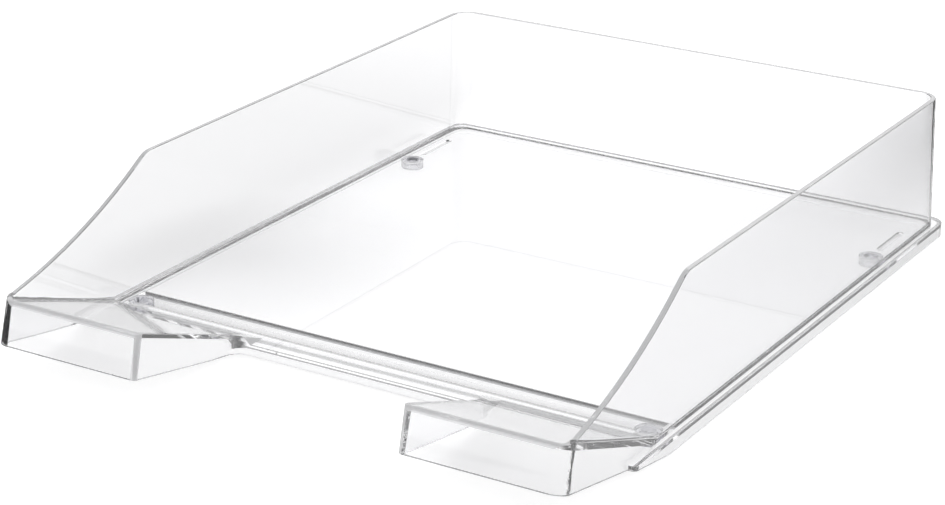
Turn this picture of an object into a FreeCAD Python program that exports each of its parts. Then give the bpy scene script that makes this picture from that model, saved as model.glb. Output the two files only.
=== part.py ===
"""Clear letter tray for C4 and smaller paper: one moulded tray with four riser sockets.

Millimetres. +Z up, the finger recess and the two noses face -Y, the origin lies on the
table under the middle of the tray.
"""
import FreeCAD, Part
import math
import os
import re

import Sketcher

doc = FreeCAD.newDocument("letter_tray_model")


# Driving sizes

SIZES = {
    # outside of the tray, over the rails
    "tray_width": 255.0,
    "tray_depth": 348.0,
    "tray_height": 65.0,
    # walls: foot to rim they lean in by wall_lean
    "wall_lean": 2.0,
    "wall_thickness": 2.2,
    "wall_corner_radius": 10.0,
    # rail that runs round the foot of the walls and carries the tray
    "rail_ledge": 2.8,
    "rail_height": 6.2,
    "rail_thickness": 2.0,
    "rail_setback": 48.0,
    "rail_corner_radius": 7.5,
    "rail_tip_radius": 2.6,
    "rail_tip_clearance": 4.0,
    # floor plate and the rounded foot of the walls on it
    "floor_height": 6.2,
    "floor_thickness": 2.0,
    "cove_radius": 1.8,
    # side walls swoop down from the rim to the noses
    "bend_setback": 93.5,
    "bend_radius": 12.0,
    "swoop_radius": 240.0,
    # noses: hollow, open below, clear of the table
    "nose_height": 31.0,
    "nose_clearance": 13.0,
    "nose_lean": 4.2,
    "nose_corner_radius": 6.0,
    "nose_inner_radius": 2.6,
    "nose_edge_reach": 2.3,
    "slope_setback": 76.0,
    "ramp_setback": 73.0,
    # finger recess between the noses
    "recess_front_width": 115.0,
    "recess_rear_width": 113.0,
    "recess_depth": 64.5,
    "recess_corner_radius": 6.0,
    "fairing_angle": 40.0,
    # stiffening channel across the front of the floor
    "channel_setback": 76.6,
    "channel_length": 11.0,
    "channel_inset": 5.6,
    "channel_depth": 3.0,
    "channel_wall": 1.8,
    # riser sockets let into the floor
    "socket_inset": 9.7,
    "socket_front_setback": 79.5,
    "socket_rear_setback": 60.3,
    "socket_diameter": 10.4,
    "socket_bore": 6.0,
    "socket_length": 5.2,
    "socket_clearance": 0.05,
    # locating grooves behind the rear sockets
    "groove_rear_setback": 26.0,
    "groove_length": 25.5,
    "groove_width": 3.0,
    "groove_depth": 1.0,
    # how far a cutting shape runs past what it cuts
    "overrun": 10.0,
}

sheet = doc.addObject("Spreadsheet::Sheet", "sizes")
for row, (alias, size) in enumerate(SIZES.items(), start=1):
    sheet.set(f"A{row}", alias)
    sheet.set(f"B{row}", str(size))
    sheet.setAlias(f"B{row}", alias)
doc.recompute()


# Places worked out from the driving sizes

FRONT = "(-tray_depth / 2)"
REAR = "(tray_depth / 2)"
RAIL_X = "(tray_width / 2)"
WALL_X = "(tray_width / 2 - rail_ledge)"
WALL_REAR = "(tray_depth / 2 - rail_ledge)"
WALL_DRAFT = "atan(wall_lean / tray_height)"
RAIL_FRONT = f"({FRONT} + rail_setback)"
BEND_Y = f"({FRONT} + bend_setback)"
NOSE_TOP_Y = f"({FRONT} + nose_lean)"
SLOPE_FOOT_Y = f"({FRONT} + slope_setback)"
RAMP_FOOT_Y = f"({FRONT} + ramp_setback)"
RAMP_SLOPE = "((nose_height - floor_height) / (ramp_setback - nose_lean))"
RAMP_AHEAD = f"(nose_height + overrun * {RAMP_SLOPE})"
NOSE_FACE_SLOPE = "(nose_lean / (nose_height - nose_clearance))"
NOSE_WALL = f"(wall_thickness * sqrt(1 + {NOSE_FACE_SLOPE} ^ 2))"
LIP_Y = f"({FRONT} + recess_depth)"
FLOOR_UNDER = "(floor_height - floor_thickness)"
HOLLOW_FRONT_X = "(recess_front_width / 2 + wall_thickness)"
CHANNEL_FRONT = f"({FRONT} + channel_setback)"
CHANNEL_BED = "(floor_height - channel_depth)"
SOCKET_X = f"({WALL_X} - socket_inset)"
SOCKET_FRONT_Y = f"({FRONT} + socket_front_setback)"
SOCKET_REAR_Y = f"({REAR} - socket_rear_setback)"
RECESS_TAPER = "((recess_front_width - recess_rear_width) / 2 / recess_depth)"


def bound(text):
    """The expression with each size's name pointed at its cell in the sheet."""
    return re.sub(r"[a-z_]+", lambda word: f"sizes.{word[0]}" if word[0] in SIZES else word[0], text)


def value(text):
    """What the expression comes to with the sheet's present sizes."""
    result = sheet.evalExpression(bound(text))
    return float(getattr(result, "Value", result))


# Small builders for sketches and features

def plane(body, role):
    """One of the body's own origin planes."""
    return next(item for item in body.Origin.OriginFeatures if item.Role == role)


def hold(sketch, kind, *where, size):
    """Adds one dimension to the sketch and ties it to the sheet."""
    index = sketch.addConstraint(Sketcher.Constraint(kind, *where, value(size)))
    sketch.setExpression(f"Constraints[{index}]", bound(size))


def new_sketch(body, name, role):
    """An empty sketch on one of the body's origin planes."""
    sketch = body.newObject("Sketcher::SketchObject", name)
    sketch.AttachmentSupport = (plane(body, role), [""])
    sketch.MapMode = "FlatFace"
    return sketch


def outline(body, name, role, corners, lift="0", arc_radius=None):
    """A closed outline through the corners, each held from the origin.

    With arc_radius, the side from the last corner back to the first is an arc.
    """
    sketch = new_sketch(body, name, role)
    points = [FreeCAD.Vector(value(across), value(up), 0) for across, up in corners]
    count = len(points)
    for index in range(count):
        start, end = points[index], points[(index + 1) % count]
        if arc_radius is not None and index == count - 1:
            sketch.addGeometry(sagging_arc(start, end, value(arc_radius)), False)
        else:
            sketch.addGeometry(Part.LineSegment(start, end), False)
    for index in range(count):
        following = (index + 1) % count
        sketch.addConstraint(Sketcher.Constraint("Coincident", index, 2, following, 1))
    for index, (across, up) in enumerate(corners):
        hold(sketch, "DistanceX", -1, 1, index, 1, size=across)
        hold(sketch, "DistanceY", -1, 1, index, 1, size=up)
    if arc_radius is not None:
        hold(sketch, "Radius", count - 1, size=arc_radius)
    sketch.setExpression("AttachmentOffset.Base.z", bound(lift))
    return sketch


def sagging_arc(start, end, radius):
    """The arc, counterclockwise from start to end, that hangs below its chord."""
    half = (end - start) * 0.5
    across = FreeCAD.Vector(-half.y, half.x, 0).normalize()
    centre = start + half + across * math.sqrt(radius ** 2 - half.Length ** 2)
    angles = [math.atan2(point.y - centre.y, point.x - centre.x) for point in (start, end)]
    return Part.ArcOfCircle(Part.Circle(centre, FreeCAD.Vector(0, 0, 1), radius), *angles)


def stadium(body, name, across, near, far, radius, lift):
    """A long hole along Y with round ends, in plan."""
    sketch = new_sketch(body, name, "XY_Plane")
    middle = value(across)
    reach = value(radius)
    ends = [FreeCAD.Vector(middle, value(place), 0) for place in (near, far)]
    side = FreeCAD.Vector(reach, 0, 0)
    up = FreeCAD.Vector(0, 0, 1)
    sketch.addGeometry(Part.ArcOfCircle(Part.Circle(ends[0], up, reach), math.pi, 2 * math.pi), False)
    sketch.addGeometry(Part.LineSegment(ends[0] + side, ends[1] + side), False)
    sketch.addGeometry(Part.ArcOfCircle(Part.Circle(ends[1], up, reach), 0, math.pi), False)
    sketch.addGeometry(Part.LineSegment(ends[1] - side, ends[0] - side), False)
    for index in range(4):
        following = (index + 1) % 4
        sketch.addConstraint(Sketcher.Constraint("Tangent", index, 2, following, 1))
    for arc, place in ((0, near), (2, far)):
        hold(sketch, "DistanceX", -1, 1, arc, 3, size=across)
        hold(sketch, "DistanceY", -1, 1, arc, 3, size=place)
    hold(sketch, "Radius", 0, size=radius)
    sketch.setExpression("AttachmentOffset.Base.z", bound(lift))
    return sketch


def pad(body, name, sketch, length, draft="0"):
    """Thickens the sketch upwards, with sides that draw in by the draft angle."""
    feature = body.newObject("PartDesign::Pad", name)
    feature.Profile = sketch
    feature.setExpression("Length", bound(length))
    feature.setExpression("TaperAngle", bound(f"-1 * ({draft})"))
    doc.recompute()
    return feature


def pocket_across(body, name, sketch):
    """Cuts the side-view sketch away over the whole width."""
    feature = body.newObject("PartDesign::Pocket", name)
    feature.Profile = sketch
    feature.SideType = "Symmetric"
    feature.setExpression("Length", bound("tray_width + 2 * overrun"))
    doc.recompute()
    return feature


def pocket_up(body, name, sketch, length):
    """Cuts the plan-view sketch away upwards from its own height."""
    feature = body.newObject("PartDesign::Pocket", name)
    feature.Profile = sketch
    feature.Reversed = True
    feature.setExpression("Length", bound(length))
    doc.recompute()
    return feature


def fillet(body, name, radius, wanted):
    """Rounds every edge of the body's tip that the test wants."""
    base = body.Tip
    chosen = [f"Edge{number}" for number, edge in enumerate(base.Shape.Edges, start=1) if wanted(edge)]
    feature = body.newObject("PartDesign::Fillet", name)
    feature.Base = (base, chosen)
    feature.setExpression("Radius", bound(radius))
    doc.recompute()
    return feature


NEAR = 0.01


def upright_at(*places):
    """Test for an edge that climbs steeply from a plan point."""
    spots = [(value(x), value(y)) for x, y in places]

    def wanted(edge):
        if len(edge.Vertexes) < 2:
            return False
        low, high = sorted((vertex.Point for vertex in edge.Vertexes), key=lambda point: point.z)
        steep = high.z - low.z > math.hypot(high.x - low.x, high.y - low.y)
        return steep and any(math.hypot(low.x - x, low.y - y) < NEAR for x, y in spots)

    return wanted


def mirrored(*places):
    """The plan points and their twins on the left of the tray."""
    return [(f"{side} * {x}", y) for x, y in places for side in ("1", "-1")]


# Space for the paper: walls, floor and ramps are what is left round it

paper = doc.addObject("PartDesign::Body", "paper_space")
INNER_X = f"({WALL_X} - wall_thickness)"
INNER_REAR = f"({WALL_REAR} - wall_thickness)"
AHEAD = f"({NOSE_TOP_Y} - overrun)"
BEHIND = f"({REAR} + overrun)"
sketch = outline(paper, "paper_plan", "XY_Plane", [
    (f"-1 * {INNER_X}", AHEAD),
    (INNER_X, AHEAD),
    (INNER_X, INNER_REAR),
    (f"-1 * {INNER_X}", INNER_REAR),
])
pad(paper, "paper_block", sketch, "tray_height + overrun", WALL_DRAFT)
fillet(paper, "paper_corners", "wall_corner_radius - wall_thickness",
       upright_at(*mirrored((INNER_X, INNER_REAR))))
sketch = outline(paper, "floor_and_ramp", "YZ_Plane", [
    (AHEAD, RAMP_AHEAD),
    (RAMP_FOOT_Y, "floor_height"),
    (BEHIND, "floor_height"),
    (BEHIND, "-1 * overrun"),
    (AHEAD, "-1 * overrun"),
])
pocket_across(paper, "floor_and_ramp_cut", sketch)
floor_level = value("floor_height")
ramp_foot = value(RAMP_FOOT_Y)
ramp_slope = value(RAMP_SLOPE)


def wall_foot(edge):
    """Edge where the floor or a ramp meets a wall."""
    points = [vertex.Point for vertex in edge.Vertexes]
    at_floor = all(abs(p.z - floor_level - max(ramp_foot - p.y, 0) * ramp_slope) < NEAR for p in points)
    across = abs(points[0].x + points[-1].x) < NEAR and points[0].y < ramp_foot + NEAR
    return at_floor and not across


fillet(paper, "wall_cove", "cove_radius", wall_foot)

STRIP_X = "(recess_rear_width / 2 - recess_corner_radius)"
sketch = outline(paper, "lip_strip", "XY_Plane", [
    (f"-1 * {STRIP_X}", f"{LIP_Y} - overrun"),
    (STRIP_X, f"{LIP_Y} - overrun"),
    (STRIP_X, RAMP_FOOT_Y),
    (f"-1 * {STRIP_X}", RAMP_FOOT_Y),
], lift="floor_height")
pad(paper, "lip_strip_space", sketch, "overrun", "-1 * fairing_angle")

CHANNEL_REAR = f"({CHANNEL_FRONT} + channel_length)"
CHANNEL_X = f"({WALL_X} - channel_inset)"
sketch = outline(paper, "channel_plan", "XY_Plane", [
    (f"-1 * {CHANNEL_X}", CHANNEL_FRONT),
    (CHANNEL_X, CHANNEL_FRONT),
    (CHANNEL_X, CHANNEL_REAR),
    (f"-1 * {CHANNEL_X}", CHANNEL_REAR),
], lift=CHANNEL_BED)
pad(paper, "channel_space", sketch, "channel_depth + cove_radius")

GROOVE_REAR = f"({REAR} - groove_rear_setback - groove_width / 2)"
GROOVE_FRONT = f"({REAR} - groove_rear_setback - groove_length + groove_width / 2)"
for side, name in (("1", "right"), ("-1", "left")):
    sketch = stadium(paper, f"{name}_groove_plan", f"{side} * {SOCKET_X}",
                     GROOVE_FRONT, GROOVE_REAR, "groove_width / 2", "floor_height - groove_depth")
    pad(paper, f"{name}_groove_space", sketch, "groove_depth + cove_radius")


# Space below: the two hollow noses and the hollow between the rails

under = doc.addObject("PartDesign::Body", "underside_space")
LIP_BACK = f"({LIP_Y} + wall_thickness)"
NOSE_REAR = f"({RAMP_FOOT_Y} + overrun)"
for side, name in (("1", "right"), ("-1", "left")):
    sketch = outline(under, f"{name}_nose_plan", "XY_Plane", [
        (f"{side} * {HOLLOW_FRONT_X}", FRONT),
        (f"{side} * {INNER_X}", FRONT),
        (f"{side} * {INNER_X}", NOSE_REAR),
        (f"{side} * ({HOLLOW_FRONT_X} - (ramp_setback + overrun) * {RECESS_TAPER})", NOSE_REAR),
    ])
    pad(under, f"{name}_nose_block", sketch, "nose_height", WALL_DRAFT)
CEILING_TOP = "(nose_height + 2 * overrun)"
sketch = outline(under, "ceiling", "YZ_Plane", [
    (AHEAD, f"{RAMP_AHEAD} - floor_thickness"),
    (RAMP_FOOT_Y, FLOOR_UNDER),
    (BEHIND, FLOOR_UNDER),
    (BEHIND, CEILING_TOP),
    (AHEAD, CEILING_TOP),
])
pocket_across(under, "ceiling_cut", sketch)
sketch = outline(under, "nose_back", "YZ_Plane", [
    (f"{FRONT} + {NOSE_WALL} - (nose_clearance + overrun) * {NOSE_FACE_SLOPE}", "-1 * overrun"),
    (f"{NOSE_TOP_Y} + {NOSE_WALL} + overrun * {NOSE_FACE_SLOPE}", "nose_height + overrun"),
    (f"{AHEAD} - overrun", "nose_height + overrun"),
    (f"{AHEAD} - overrun", "-1 * overrun"),
])
pocket_across(under, "nose_back_cut", sketch)
face_slope = value(NOSE_FACE_SLOPE)
back_y = value(f"{FRONT} + {NOSE_WALL}")
back_z = value("nose_clearance")


def nose_back_edge(nearest, furthest):
    """Test for an edge that climbs the back of a nose's front wall, by distance from the middle."""
    low, high = value(nearest), value(furthest)

    def wanted(edge):
        points = [vertex.Point for vertex in edge.Vertexes]
        on_back = all(abs(p.y - back_y - (p.z - back_z) * face_slope) < NEAR for p in points)
        return on_back and abs(points[0].z - points[-1].z) > NEAR and low < abs(points[0].x) < high

    return wanted


NOSE_MIDDLE = f"(({HOLLOW_FRONT_X} + {INNER_X}) / 2)"
fillet(under, "nose_outer_backs", "nose_corner_radius - wall_thickness", nose_back_edge(NOSE_MIDDLE, RAIL_X))
fillet(under, "nose_inner_backs", "nose_inner_radius - wall_thickness", nose_back_edge("0", NOSE_MIDDLE))

HOLLOW_X = f"({RAIL_X} - rail_thickness)"
HOLLOW_REAR = f"({REAR} - rail_thickness)"
HOLLOW_FRONT = f"({RAIL_FRONT} + rail_thickness)"
sketch = outline(under, "hollow_plan", "XY_Plane", [
    (f"-1 * {HOLLOW_X}", HOLLOW_FRONT),
    (f"-1 * {NOSE_MIDDLE}", HOLLOW_FRONT),
    (f"-1 * {NOSE_MIDDLE}", LIP_BACK),
    (NOSE_MIDDLE, LIP_BACK),
    (NOSE_MIDDLE, HOLLOW_FRONT),
    (HOLLOW_X, HOLLOW_FRONT),
    (HOLLOW_X, HOLLOW_REAR),
    (f"-1 * {HOLLOW_X}", HOLLOW_REAR),
], lift="-1 * overrun")
pad(under, "hollow_block", sketch, f"overrun + {FLOOR_UNDER}")
fillet(under, "hollow_rear_corners", "rail_corner_radius - rail_thickness",
       upright_at(*mirrored((HOLLOW_X, HOLLOW_REAR))))
LIP_CORNER_X = f"({HOLLOW_FRONT_X} - (recess_depth + wall_thickness) * {RECESS_TAPER})"
fillet(under, "hollow_lip_corners", "recess_corner_radius + wall_thickness",
       upright_at(*mirrored((LIP_CORNER_X, LIP_BACK))))
BED_X = f"({CHANNEL_X} + channel_wall)"
sketch = outline(under, "channel_bed", "XY_Plane", [
    (f"-1 * {BED_X}", f"{CHANNEL_FRONT} - channel_wall"),
    (BED_X, f"{CHANNEL_FRONT} - channel_wall"),
    (BED_X, f"{CHANNEL_REAR} + channel_wall"),
    (f"-1 * {BED_X}", f"{CHANNEL_REAR} + channel_wall"),
], lift=f"{CHANNEL_BED} - channel_wall")
pocket_up(under, "channel_bed_cut", sketch, "floor_height")


# The tray moulding

def nose_edge_point(down, back):
    """Point near a nose's top edge, in parts of its reach down the face and back along the ramp."""
    face_length = "sqrt(nose_lean ^ 2 + (nose_height - nose_clearance) ^ 2)"
    down_face = f"({down} * nose_edge_reach / {face_length})"
    along_ramp = f"({back} * nose_edge_reach / sqrt(1 + {RAMP_SLOPE} ^ 2))"
    return (f"({NOSE_TOP_Y} - {down_face} * nose_lean + {along_ramp})",
            f"(nose_height - {down_face} * (nose_height - nose_clearance) - {along_ramp} * {RAMP_SLOPE})")


tray = doc.addObject("PartDesign::Body", "letter_tray")
tray.Label = "letter_tray"
sketch = outline(tray, "wall_plan", "XY_Plane", [
    (f"-1 * {WALL_X}", f"{FRONT} - overrun"),
    (WALL_X, f"{FRONT} - overrun"),
    (WALL_X, WALL_REAR),
    (f"-1 * {WALL_X}", WALL_REAR),
])
pad(tray, "wall_block", sketch, "tray_height", WALL_DRAFT)
fillet(tray, "wall_corners", "wall_corner_radius", upright_at(*mirrored((WALL_X, WALL_REAR))))
sketch = outline(tray, "rail_plan", "XY_Plane", [
    (f"-1 * {RAIL_X}", RAIL_FRONT),
    (RAIL_X, RAIL_FRONT),
    (RAIL_X, REAR),
    (f"-1 * {RAIL_X}", REAR),
])
pad(tray, "rail_block", sketch, "rail_height")
fillet(tray, "rail_corners", "rail_corner_radius", upright_at(*mirrored((RAIL_X, REAR))))
fillet(tray, "rail_tips", "rail_tip_radius", upright_at(*mirrored((RAIL_X, RAIL_FRONT))))
EDGE_FRONT = nose_edge_point("1", "0")
EDGE_BACK = nose_edge_point("0", "1")
sketch = outline(tray, "side_view", "YZ_Plane", [
    (BEND_Y, "tray_height"),
    (BEND_Y, "tray_height + overrun"),
    (f"{AHEAD} - overrun", "tray_height + overrun"),
    (f"{AHEAD} - overrun", "-1 * overrun"),
    (SLOPE_FOOT_Y, "-1 * overrun"),
    (SLOPE_FOOT_Y, "0"),
    (RAIL_FRONT, "rail_tip_clearance"),
    (FRONT, "nose_clearance"),
    (NOSE_TOP_Y, "nose_height"),
    EDGE_BACK,
], arc_radius="swoop_radius")
pocket_across(tray, "side_view_cut", sketch)
bend = FreeCAD.Vector(0, value(BEND_Y), value("tray_height"))


def rim_bend(edge):
    """Edge across the tray where the level rim turns down."""
    return all(abs(v.Point.y - bend.y) + abs(v.Point.z - bend.z) < NEAR for v in edge.Vertexes)


fillet(tray, "bend_round", "bend_radius", rim_bend)
RECESS_AHEAD_X = f"(recess_front_width / 2 + overrun * {RECESS_TAPER})"
sketch = outline(tray, "recess_plan", "XY_Plane", [
    (f"-1 * {RECESS_AHEAD_X}", f"{FRONT} - overrun"),
    (RECESS_AHEAD_X, f"{FRONT} - overrun"),
    ("recess_rear_width / 2", LIP_Y),
    ("-1 * recess_rear_width / 2", LIP_Y),
])
pocket_up(tray, "recess_cut", sketch, "tray_height")
fillet(tray, "recess_corners", "recess_corner_radius",
       upright_at(*mirrored(("recess_rear_width / 2", LIP_Y))))
NOSE_SIDE_X = f"({WALL_X} - nose_clearance * wall_lean / tray_height)"
fillet(tray, "nose_corners", "nose_corner_radius", upright_at(*mirrored((NOSE_SIDE_X, FRONT))))
fillet(tray, "nose_inner_corners", "nose_inner_radius",
       upright_at(*mirrored(("recess_front_width / 2", FRONT))))

# the noses' top edge is rounded in three flats; their corners lie these shares of its reach away
FAR_SHARE = "0.5"
NEAR_SHARE = "0.14"
sketch = outline(tray, "nose_edge", "YZ_Plane", [
    EDGE_FRONT,
    nose_edge_point(FAR_SHARE, NEAR_SHARE),
    nose_edge_point(NEAR_SHARE, FAR_SHARE),
    EDGE_BACK,
    (EDGE_BACK[0], "nose_height + overrun"),
    (AHEAD, "nose_height + overrun"),
    (AHEAD, "nose_clearance"),
])
pocket_across(tray, "nose_edge_round", sketch)

cut = tray.newObject("PartDesign::Boolean", "hollowing")
cut.Type = "Cut"
cut.setObjects([paper, under])
doc.recompute()


# Riser sockets: four sleeves let into the floor, and their seats in the tray

SOCKETS = {
    "front_left_socket": ("-1", SOCKET_FRONT_Y),
    "front_right_socket": ("1", SOCKET_FRONT_Y),
    "rear_left_socket": ("-1", SOCKET_REAR_Y),
    "rear_right_socket": ("1", SOCKET_REAR_Y),
}
seats = new_sketch(tray, "socket_seats", "XY_Plane")
for index, (side, place) in enumerate(SOCKETS.values()):
    across = f"{side} * {SOCKET_X}"
    seat_radius = "socket_diameter / 2 + socket_clearance"
    centre = FreeCAD.Vector(value(across), value(place), 0)
    seats.addGeometry(Part.Circle(centre, FreeCAD.Vector(0, 0, 1), value(seat_radius)), False)
    hold(seats, "DistanceX", -1, 1, index, 3, size=across)
    hold(seats, "DistanceY", -1, 1, index, 3, size=place)
    hold(seats, "Radius", index, size=seat_radius)
pocket_up(tray, "socket_seat_holes", seats, "floor_height + cove_radius")

for label, (side, place) in SOCKETS.items():
    sleeve = doc.addObject("PartDesign::Body", label)
    sleeve.Label = label
    sketch = outline(sleeve, f"{label}_section", "XZ_Plane", [
        ("socket_bore / 2", "-1 * socket_length"),
        ("socket_diameter / 2", "-1 * socket_length"),
        ("socket_diameter / 2", "0"),
        ("socket_bore / 2", "0"),
    ])
    turned = sleeve.newObject("PartDesign::Revolution", f"{label}_turned")
    turned.Profile = sketch
    turned.ReferenceAxis = (sketch, ["V_Axis"])
    sleeve.setExpression("Placement.Base.x", bound(f"{side} * {SOCKET_X}"))
    sleeve.setExpression("Placement.Base.y", bound(place))
    sleeve.setExpression("Placement.Base.z", bound("floor_height"))
doc.recompute()


# Check every object, then write one file for each piece

failed = [item.Name for item in doc.Objects if {"Invalid", "Error"} & set(item.State)]
pieces = [tray] + [doc.getObject(label) for label in SOCKETS]
unsound = [piece.Label for piece in pieces if piece.Shape.isNull() or not piece.Shape.isValid()]
if failed or unsound:
    raise RuntimeError(f"not built: {failed} {unsound}")
os.makedirs("parts", exist_ok=True)
for piece in pieces:
    piece.Shape.exportStep(f"parts/{piece.Label}.step")
    print(piece.Label, round(piece.Shape.Volume), len(piece.Shape.Solids), piece.Shape.BoundBox)
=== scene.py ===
import math

import bmesh
import bpy
from mathutils import Matrix, Vector


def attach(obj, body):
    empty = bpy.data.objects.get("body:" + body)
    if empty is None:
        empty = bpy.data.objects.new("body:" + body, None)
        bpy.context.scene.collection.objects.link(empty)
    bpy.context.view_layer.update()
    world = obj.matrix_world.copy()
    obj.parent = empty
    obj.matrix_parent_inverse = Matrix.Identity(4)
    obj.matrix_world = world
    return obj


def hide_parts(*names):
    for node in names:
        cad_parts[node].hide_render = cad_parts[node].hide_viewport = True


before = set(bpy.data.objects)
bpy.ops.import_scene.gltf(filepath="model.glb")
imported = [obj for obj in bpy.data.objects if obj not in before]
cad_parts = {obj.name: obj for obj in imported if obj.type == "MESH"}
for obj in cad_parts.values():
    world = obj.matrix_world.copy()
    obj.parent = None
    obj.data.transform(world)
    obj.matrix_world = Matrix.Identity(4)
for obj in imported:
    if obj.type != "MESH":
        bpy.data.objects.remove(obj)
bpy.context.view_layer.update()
MM = 0.001


# Tray: one injection moulding in clear polystyrene, polished in the mould. Floor, walls,
# noses and rail are a single skin about two millimetres thick, so the piece shows mostly
# as bright and dark lines along its edges and corners.

WELD = 0.06 * MM
FLAT_ANGLE = math.radians(0.4)
CREASE_ANGLE = math.radians(30)
FLAT_LEAD = 100

# Places with the rubbed finish are told by where a face lies and which way it turns.
RIM_TILT = 0.3
RIM_ABOVE = 31.3 * MM
FOOT_TILT = 0.9
FOOT_WIDTH = 3 * MM
FOOT_AREA = 20 * MM ** 2
RAMP_TILT = 0.3
RAMP_AREA = 1000 * MM ** 2
NOSE_FRONT = -166 * MM
NOSE_EDGE_ABOVE = 28.7 * MM
RECESS_WITHIN = 62 * MM
CORNER_TURN = 0.2
SLOPE_BEFORE = -104 * MM
SLOPE_TURN = 0.7
SLOPE_TILT = 0.6
STEP_FRONT = -88 * MM
STEP_REAR = -85 * MM
STEP_LOW = 4.2 * MM
STEP_HIGH = 5.3 * MM

EDGE_ANGLE = math.radians(60)
EDGE_ROUND = 0.5 * MM
EDGE_SEGMENTS = 3

POLYSTYRENE_IOR = 1.59
SHADOW_TINT = "#FCFCFC"
RIPPLE_LENGTH = 60 * MM
RIPPLE_DETAIL = 1.0
RIPPLE_STRENGTH = 0.02
RIPPLE_HEIGHT = 1 * MM
RUB_LENGTH = 18 * MM
RUB_DETAIL = 4.0

# The four numbers of a soft change: where it starts and ends, then the value before and after.
SPAN = ("From Min", "From Max", "To Min", "To Max")
RUB_HAZE = (0.35, 0.8, 0.0, 0.02)


def linear(hex_colour):
    """Linear RGBA of an sRGB hex colour."""
    parts = [int(hex_colour[place:place + 2], 16) / 255 for place in (1, 3, 5)]
    return [part / 12.92 if part <= 0.04045 else ((part + 0.055) / 1.055) ** 2.4 for part in parts] + [1]


def node(tree, kind, links={}, values={}, **options):
    """Adds a shader node with its options, its sockets' values and the links into it."""
    made = tree.nodes.new(kind)
    for name, option in options.items():
        setattr(made, name, option)
    for socket, value in values.items():
        made.inputs[socket].default_value = value
    for socket, source in links.items():
        tree.links.new(source, made.inputs[socket])
    return made


def clear_polystyrene(name, colour, clearness):
    """Clear moulded polystyrene: high index, nearly smooth, with a faint flow ripple from the
    mould and a little haze where hands and paper have rubbed it."""
    material = bpy.data.materials.new(name)
    material.use_nodes = True
    tree = material.node_tree
    tree.nodes.clear()
    place = node(tree, "ShaderNodeTexCoord").outputs["Object"]
    ripple = node(tree, "ShaderNodeTexNoise", {"Vector": place},
                  {"Scale": 1 / RIPPLE_LENGTH, "Detail": RIPPLE_DETAIL})
    bump = node(tree, "ShaderNodeBump", {"Height": ripple.outputs["Fac"]},
                {"Strength": RIPPLE_STRENGTH, "Distance": RIPPLE_HEIGHT})
    rubbed = node(tree, "ShaderNodeTexNoise", {"Vector": place},
                  {"Scale": 1 / RUB_LENGTH, "Detail": RUB_DETAIL})
    haze = node(tree, "ShaderNodeMapRange", {"Value": rubbed.outputs["Fac"]}, dict(zip(SPAN, RUB_HAZE)))
    plastic = node(tree, "ShaderNodeBsdfPrincipled",
                   {"Roughness": haze.outputs["Result"], "Normal": bump.outputs["Normal"]},
                   {"Base Color": linear(colour), "IOR": POLYSTYRENE_IOR, "Transmission Weight": clearness})
    let_through = node(tree, "ShaderNodeBsdfTransparent", values={"Color": linear(SHADOW_TINT)})
    rays = node(tree, "ShaderNodeLightPath")
    mixed = node(tree, "ShaderNodeMixShader",
                 {0: rays.outputs["Is Shadow Ray"], 1: plastic.outputs[0], 2: let_through.outputs[0]})
    node(tree, "ShaderNodeOutputMaterial", {"Surface": mixed.outputs[0]})
    return material


def on_step(face):
    """Whether a face is part of the upright step at the rear of the floor's channel."""
    return face.normal.y < -FOOT_TILT and STEP_FRONT < face.calc_center_median().y < STEP_REAR


def on_worn_edge(face):
    """Whether a face is on a wall rim, a lower edge, or a nose's top front edge or recess-side corner."""
    area = face.calc_area()
    middle = face.calc_center_median()
    on_rim = face.normal.z > RIM_TILT and middle.z > RIM_ABOVE
    on_foot = (face.normal.z < -FOOT_TILT and area > FOOT_AREA
               and 2 * area / face.calc_perimeter() < FOOT_WIDTH)
    on_corner = (abs(middle.x) < RECESS_WITHIN and middle.y < NOSE_FRONT
                 and face.normal.y < -CORNER_TURN and abs(face.normal.x) > CORNER_TURN)
    on_nose_edge = (middle.y < NOSE_FRONT and middle.z > NOSE_EDGE_ABOVE
                    and face.normal.z > RIM_TILT and area < RAMP_AREA)
    return on_rim or on_foot or on_corner or on_nose_edge


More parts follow.
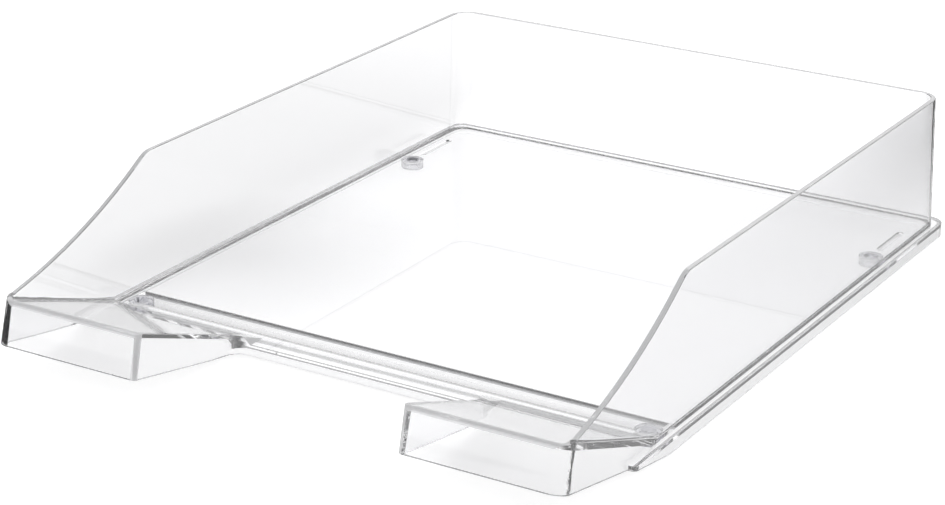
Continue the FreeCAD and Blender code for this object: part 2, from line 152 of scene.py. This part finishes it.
def welded(name, cad_node, material, rubbed_material):
    """A copy of the CAD solid's mesh as one skin, with flat faces joined and its edges kept crisp."""
    shape = bmesh.new()
    shape.from_mesh(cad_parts[cad_node].data)
    bmesh.ops.remove_doubles(shape, verts=shape.verts, dist=WELD)
    bmesh.ops.dissolve_limit(shape, angle_limit=FLAT_ANGLE, verts=shape.verts, edges=shape.edges)
    step = [face for face in shape.faces if on_step(face)]
    band = step + [part for face in step for part in (*face.edges, *face.verts)]
    for height in (STEP_LOW, STEP_HIGH):
        band = bmesh.ops.bisect_plane(shape, geom=band, plane_co=(0, 0, height), plane_no=(0, 0, 1))["geom"]
    for face in shape.faces:
        face.material_index = int(on_worn_edge(face))
    worn = [edge for edge in shape.edges if edge.calc_face_angle(0) > EDGE_ANGLE and edge.is_convex
            and any(face.material_index for face in edge.link_faces)]
    bmesh.ops.bevel(shape, geom=worn, offset=EDGE_ROUND, affect="EDGES", segments=EDGE_SEGMENTS,
                    profile=0.5, material=-1)
    for face in shape.faces:
        middle = face.calc_center_median()
        on_ramp = face.calc_area() > RAMP_AREA and min(abs(face.normal.y), abs(face.normal.z)) > RAMP_TILT
        on_slope = (abs(middle.x) < RECESS_WITHIN and middle.y < SLOPE_BEFORE
                    and abs(face.normal.x) > SLOPE_TURN and face.normal.z > SLOPE_TILT)
        face.smooth = not on_ramp
        if on_slope or on_step(face) and STEP_LOW < middle.z < STEP_HIGH:
            face.material_index = 1
    for edge in shape.edges:
        edge.smooth = edge.calc_face_angle(0) < CREASE_ANGLE
    mesh = bpy.data.meshes.new(name)
    shape.to_mesh(mesh)
    shape.free()
    piece = bpy.data.objects.new(name, mesh)
    bpy.context.scene.collection.objects.link(piece)
    mesh.materials.append(material)
    mesh.materials.append(rubbed_material)
    flats = piece.modifiers.new("flat_faces_lead", "WEIGHTED_NORMAL")
    flats.keep_sharp = True
    flats.weight = FLAT_LEAD
    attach(piece, "root")
    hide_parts(cad_node)
    return piece


# The rubbed edges are the same plastic, dulled: they scatter light more than they let it through.
tray_plastic = clear_polystyrene("clear_polystyrene_tray", "#F9F9FA", 0.98)
rim_plastic = clear_polystyrene("clear_polystyrene_rim", "#E6E6E8", 0.35)
tray = welded("tray_moulding", "letter_tray", tray_plastic, rim_plastic)


# Riser sockets: four short round sleeves of the same clear polystyrene, let into seats in the
# floor. Their thick walls look a little greyer than the tray round them.

socket_plastic = clear_polystyrene("clear_polystyrene_socket", "#D6D6DB", 0.97)
for end in ("front", "rear"):
    for side in ("left", "right"):
        sleeve = welded(f"{end}_{side}_sleeve", f"{end}_{side}_socket", socket_plastic, socket_plastic)


# Studio: a white sheet in even white light, the bright-field way of showing clear plastic. Seen
# directly the sheet is white; through the plastic it shows a painted pool of light that shades off
# round the tray; mirrored in the plastic it is painted dimmer, and two painted dark patches beside
# it, in place of black cards, draw the corners.

FLOOR_REACH = 0.8
FLOOR_DROP = 0.2 * MM
FLOOR_WHITE = "#F0F0F0"
FLOOR_LIFT = 0.5

# Painted pool of light and painted shades on the sheet, for what is seen through the plastic.
POOL_LIFT = 0.6
POOL_SHADE = 0.36
POOL_SIDE = (100 * MM, 165 * MM, 0.0, POOL_SHADE)
POOL_DEPTH = (-150 * MM, -60 * MM, 0.5, 1.0)
POOL_REAR = (150 * MM, 330 * MM, 1.0, 0.6)
AHEAD_SIDE = (-60 * MM, 40 * MM, 0.4 * POOL_SHADE, POOL_SHADE)
AHEAD_DEPTH = (-100 * MM, -220 * MM, 0.0, POOL_SHADE)
FAR_RIGHT_SIDE = (30 * MM, 90 * MM, 0.0, -0.16)
FAR_RIGHT_DEPTH = (0.0, 300 * MM, 0.0, 1.8)
PATCH_SHADE = 0.3
PATCH_PLACE = (-110 * MM, -20 * MM, 0)
PATCH_SIZE = (75 * MM, 95 * MM, 1)

# Painted dimming of the sheet in what the plastic mirrors, a painted lighter strip at the left and two
# painted dark patches in place of black cards.
MIRRORED_ABOVE = 0.5
MIRROR_FADE = (1.0, 3.0, 0.78, 0.08)
MIRROR_PAINTED_STRIP = (-130 * MM, -165 * MM, 1.0, 1.15)
FRONT_PAINTED_SHADE_SIDE = (-110 * MM, -135 * MM, 0.0, 1.0)
FRONT_PAINTED_SHADE_DEPTH = (-110 * MM, -130 * MM, 0.0, 1.0)
REAR_PAINTED_SHADE_SIDE = (130 * MM, 150 * MM, 0.0, 0.75)
REAR_PAINTED_SHADE_DEPTH = (150 * MM, 310 * MM, 0.0, 1.0)

sheet_mesh = bpy.data.meshes.new("floor")
sheet_shape = bmesh.new()
bmesh.ops.create_grid(sheet_shape, x_segments=1, y_segments=1, size=FLOOR_REACH)
sheet_shape.to_mesh(sheet_mesh)
sheet_shape.free()
floor = bpy.data.objects.new("floor", sheet_mesh)
floor.location.z = -FLOOR_DROP
bpy.context.scene.collection.objects.link(floor)

paper_white = bpy.data.materials.new("white_sweep")
paper_white.use_nodes = True
tree = paper_white.node_tree
tree.nodes.clear()
seen = node(tree, "ShaderNodeLightPath").outputs
place = node(tree, "ShaderNodeTexCoord").outputs["Object"]
spot = node(tree, "ShaderNodeSeparateXYZ", {0: place}).outputs

# What is seen through the plastic: a painted pool of light and painted soft shades round it.
beside = node(tree, "ShaderNodeMath", {0: spot["X"]}, operation="ABSOLUTE")
side = node(tree, "ShaderNodeMapRange", {"Value": beside.outputs[0]}, dict(zip(SPAN, POOL_SIDE)),
            interpolation_type="SMOOTHSTEP")
depth = node(tree, "ShaderNodeMapRange", {"Value": spot["Y"]}, dict(zip(SPAN, POOL_DEPTH)),
             interpolation_type="SMOOTHSTEP")
rear = node(tree, "ShaderNodeMapRange", {"Value": spot["Y"], "To Min": depth.outputs["Result"]},
            dict(zip(SPAN, POOL_REAR)), interpolation_type="SMOOTHSTEP")
flank = node(tree, "ShaderNodeMath", {0: side.outputs["Result"], 1: rear.outputs["Result"]},
             operation="MULTIPLY")
ahead_side = node(tree, "ShaderNodeMapRange", {"Value": spot["X"]}, dict(zip(SPAN, AHEAD_SIDE)))
ahead = node(tree, "ShaderNodeMapRange", {"Value": spot["Y"], "To Max": ahead_side.outputs["Result"]},
             dict(zip(SPAN, AHEAD_DEPTH)))
around = node(tree, "ShaderNodeMath", {0: flank.outputs[0], 1: ahead.outputs["Result"]},
              operation="MAXIMUM")
pool = node(tree, "ShaderNodeMath", {1: around.outputs[0]}, {0: POOL_LIFT}, operation="SUBTRACT")
far_side = node(tree, "ShaderNodeMapRange", {"Value": spot["X"]}, dict(zip(SPAN, FAR_RIGHT_SIDE)),
                interpolation_type="SMOOTHSTEP")
far_depth = node(tree, "ShaderNodeMapRange", {"Value": spot["Y"]}, dict(zip(SPAN, FAR_RIGHT_DEPTH)),
                 interpolation_type="SMOOTHSTEP")
far_right = node(tree, "ShaderNodeMath",
                 {0: far_side.outputs["Result"], 1: far_depth.outputs["Result"], 2: pool.outputs[0]},
                 operation="MULTIPLY_ADD")
near_left = node(tree, "ShaderNodeMapping", {"Vector": place},
                 {"Location": PATCH_PLACE, "Scale": PATCH_SIZE}, vector_type="TEXTURE")
patch = node(tree, "ShaderNodeTexGradient", {"Vector": near_left.outputs["Vector"]},
             gradient_type="SPHERICAL")
shade = node(tree, "ShaderNodeMath", {0: patch.outputs["Fac"], 2: far_right.outputs[0]},
             {1: -PATCH_SHADE}, operation="MULTIPLY_ADD", use_clamp=True)
bent = node(tree, "ShaderNodeMath", {0: seen["Is Glossy Ray"], 1: seen["Is Transmission Ray"]},
            operation="MAXIMUM")
through = node(tree, "ShaderNodeMath", {0: bent.outputs[0], 1: shade.outputs[0]}, operation="MULTIPLY")
lift = node(tree, "ShaderNodeMath", {0: seen["Is Camera Ray"], 2: through.outputs[0]},
            {1: FLOOR_LIFT}, operation="MULTIPLY_ADD")
lit = node(tree, "ShaderNodeBsdfDiffuse", values={"Color": linear(FLOOR_WHITE)})
glow = node(tree, "ShaderNodeEmission", {"Strength": lift.outputs[0]})
both = node(tree, "ShaderNodeAddShader", {0: lit.outputs[0], 1: glow.outputs[0]})

# What the plastic mirrors: painted dimmer at each bounce, with a painted lighter strip at the left and two
# painted dark patches in place of black cards.
mirrored = node(tree, "ShaderNodeMath", {0: seen["Glossy Depth"]}, {1: MIRRORED_ABOVE},
                operation="GREATER_THAN")
fading = node(tree, "ShaderNodeMapRange", {"Value": seen["Glossy Depth"]}, dict(zip(SPAN, MIRROR_FADE)))
painted_strip = node(tree, "ShaderNodeMapRange", {"Value": spot["X"]}, dict(zip(SPAN, MIRROR_PAINTED_STRIP)))
lifted = node(tree, "ShaderNodeMath", {0: fading.outputs["Result"], 1: painted_strip.outputs["Result"]},
              operation="MULTIPLY")
front_shade_side = node(tree, "ShaderNodeMapRange", {"Value": spot["X"]}, dict(zip(SPAN, FRONT_PAINTED_SHADE_SIDE)))
front_shade_depth = node(tree, "ShaderNodeMapRange", {"Value": spot["Y"]}, dict(zip(SPAN, FRONT_PAINTED_SHADE_DEPTH)))
front_painted_shade = node(tree, "ShaderNodeMath", {0: front_shade_side.outputs["Result"], 1: front_shade_depth.outputs["Result"]},
            operation="MULTIPLY")
rear_shade_side = node(tree, "ShaderNodeMapRange", {"Value": spot["X"]}, dict(zip(SPAN, REAR_PAINTED_SHADE_SIDE)))
rear_shade_depth = node(tree, "ShaderNodeMapRange", {"Value": spot["Y"]}, dict(zip(SPAN, REAR_PAINTED_SHADE_DEPTH)))
painted_mirror_shades = node(tree, "ShaderNodeMath",
             {0: rear_shade_side.outputs["Result"], 1: rear_shade_depth.outputs["Result"], 2: front_painted_shade.outputs[0]},
             operation="MULTIPLY_ADD")
painted_mirror_glow = node(tree, "ShaderNodeMath", {0: lifted.outputs[0], 1: painted_mirror_shades.outputs[0]},
               operation="SUBTRACT", use_clamp=True)
dim = node(tree, "ShaderNodeEmission", {"Strength": painted_mirror_glow.outputs[0]})
sheet = node(tree, "ShaderNodeMixShader", {0: mirrored.outputs[0], 1: both.outputs[0], 2: dim.outputs[0]})
node(tree, "ShaderNodeOutputMaterial", {"Surface": sheet.outputs[0]})
sheet_mesh.materials.append(paper_white)

# The room: white to the camera, plain on the sheet, and in the plastic brightest low at the back.
WHITE = (1, 1, 1, 1)
ROOM_PLAIN = 0.9
ROOM_SEEN = 1.0
ROOM_BACK = (-0.3, 0.3, 0.65, 1.0)
ROOM_LOW = (0.45, 0.85, 1.15, 0.0)
ROOM_MIDDLE = (0.6, 0.9, 1.0, 0.0)
ROOM_ABOVE = (0.2, 0.9, 0.1, 0.35)

world = bpy.data.worlds.new("studio")
bpy.context.scene.world = world
world.use_nodes = True
tree = world.node_tree
tree.nodes.clear()
seen = node(tree, "ShaderNodeLightPath").outputs
way = node(tree, "ShaderNodeSeparateXYZ", {0: node(tree, "ShaderNodeTexCoord").outputs["Generated"]}).outputs
aside = node(tree, "ShaderNodeMath", {0: way["X"]}, operation="ABSOLUTE")
back = node(tree, "ShaderNodeMapRange", {"Value": way["Y"]}, dict(zip(SPAN, ROOM_BACK)),
            interpolation_type="SMOOTHSTEP")
low = node(tree, "ShaderNodeMapRange", {"Value": way["Z"]}, dict(zip(SPAN, ROOM_LOW)),
           interpolation_type="SMOOTHSTEP")
middle = node(tree, "ShaderNodeMapRange", {"Value": aside.outputs[0]}, dict(zip(SPAN, ROOM_MIDDLE)),
              interpolation_type="SMOOTHSTEP")
above = node(tree, "ShaderNodeMapRange", {"Value": way["Z"]}, dict(zip(SPAN, ROOM_ABOVE)),
             interpolation_type="SMOOTHSTEP")
backdrop = node(tree, "ShaderNodeMath", {0: back.outputs[0], 1: low.outputs[0]}, operation="MULTIPLY")
around = node(tree, "ShaderNodeMath", {0: backdrop.outputs[0], 1: middle.outputs[0], 2: above.outputs[0]},
              operation="MULTIPLY_ADD")
bent = node(tree, "ShaderNodeMath", {0: seen["Is Glossy Ray"], 1: seen["Is Transmission Ray"]},
            operation="MAXIMUM")
plain = node(tree, "ShaderNodeBackground", values={"Color": WHITE, "Strength": ROOM_PLAIN})
studio = node(tree, "ShaderNodeBackground", {"Strength": around.outputs[0]}, {"Color": WHITE})
white = node(tree, "ShaderNodeBackground", values={"Color": WHITE, "Strength": ROOM_SEEN})
room = node(tree, "ShaderNodeMixShader", {0: bent.outputs[0], 1: plain.outputs[0], 2: studio.outputs[0]})
shown = node(tree, "ShaderNodeMixShader", {0: seen["Is Camera Ray"], 1: room.outputs[0], 2: white.outputs[0]})
node(tree, "ShaderNodeOutputWorld", {"Surface": shown.outputs[0]})


# Camera: where the photograph was taken from, a long lens about a metre away. The many bounces
# let light find its way out of the plastic's corners.

VIEW_AZIMUTH = math.radians(30.41)
VIEW_ELEVATION = math.radians(21.08)
VIEW_ROLL = math.radians(0.88)
VIEW_TARGET = Vector((2.19, -28.81, 30.0)) * MM
VIEW_DISTANCE = 1062.0 * MM
VIEW_REACH = 50
SENSOR_WIDTH = 36.0
PHOTO_WIDTH = 945
FOCAL_PIXELS = 2639.6
ALL_BOUNCES = 32
PLASTIC_BOUNCES = 24

camera_data = bpy.data.cameras.new("camera")
camera_data.sensor_fit = "HORIZONTAL"
camera_data.sensor_width = SENSOR_WIDTH
camera_data.lens = SENSOR_WIDTH * FOCAL_PIXELS / PHOTO_WIDTH
camera_data.clip_end = VIEW_REACH
camera = bpy.data.objects.new("camera", camera_data)
bpy.context.scene.collection.objects.link(camera)
level = math.cos(VIEW_ELEVATION)
forward = Vector((-math.sin(VIEW_AZIMUTH) * level, math.cos(VIEW_AZIMUTH) * level, -math.sin(VIEW_ELEVATION)))
across = Vector((math.cos(VIEW_AZIMUTH), math.sin(VIEW_AZIMUTH), 0))
upward = across.cross(forward)
tilted_across = across * math.cos(VIEW_ROLL) + upward * math.sin(VIEW_ROLL)
tilted_up = upward * math.cos(VIEW_ROLL) - across * math.sin(VIEW_ROLL)
turn = Matrix((tilted_across, tilted_up, -forward)).transposed()
camera.matrix_world = Matrix.Translation(VIEW_TARGET - forward * VIEW_DISTANCE) @ turn.to_4x4()
bpy.context.scene.camera = camera

bpy.context.scene.view_settings.view_transform = "Standard"
bpy.context.scene.cycles.max_bounces = ALL_BOUNCES
bpy.context.scene.cycles.glossy_bounces = PLASTIC_BOUNCES
bpy.context.scene.cycles.transmission_bounces = PLASTIC_BOUNCES
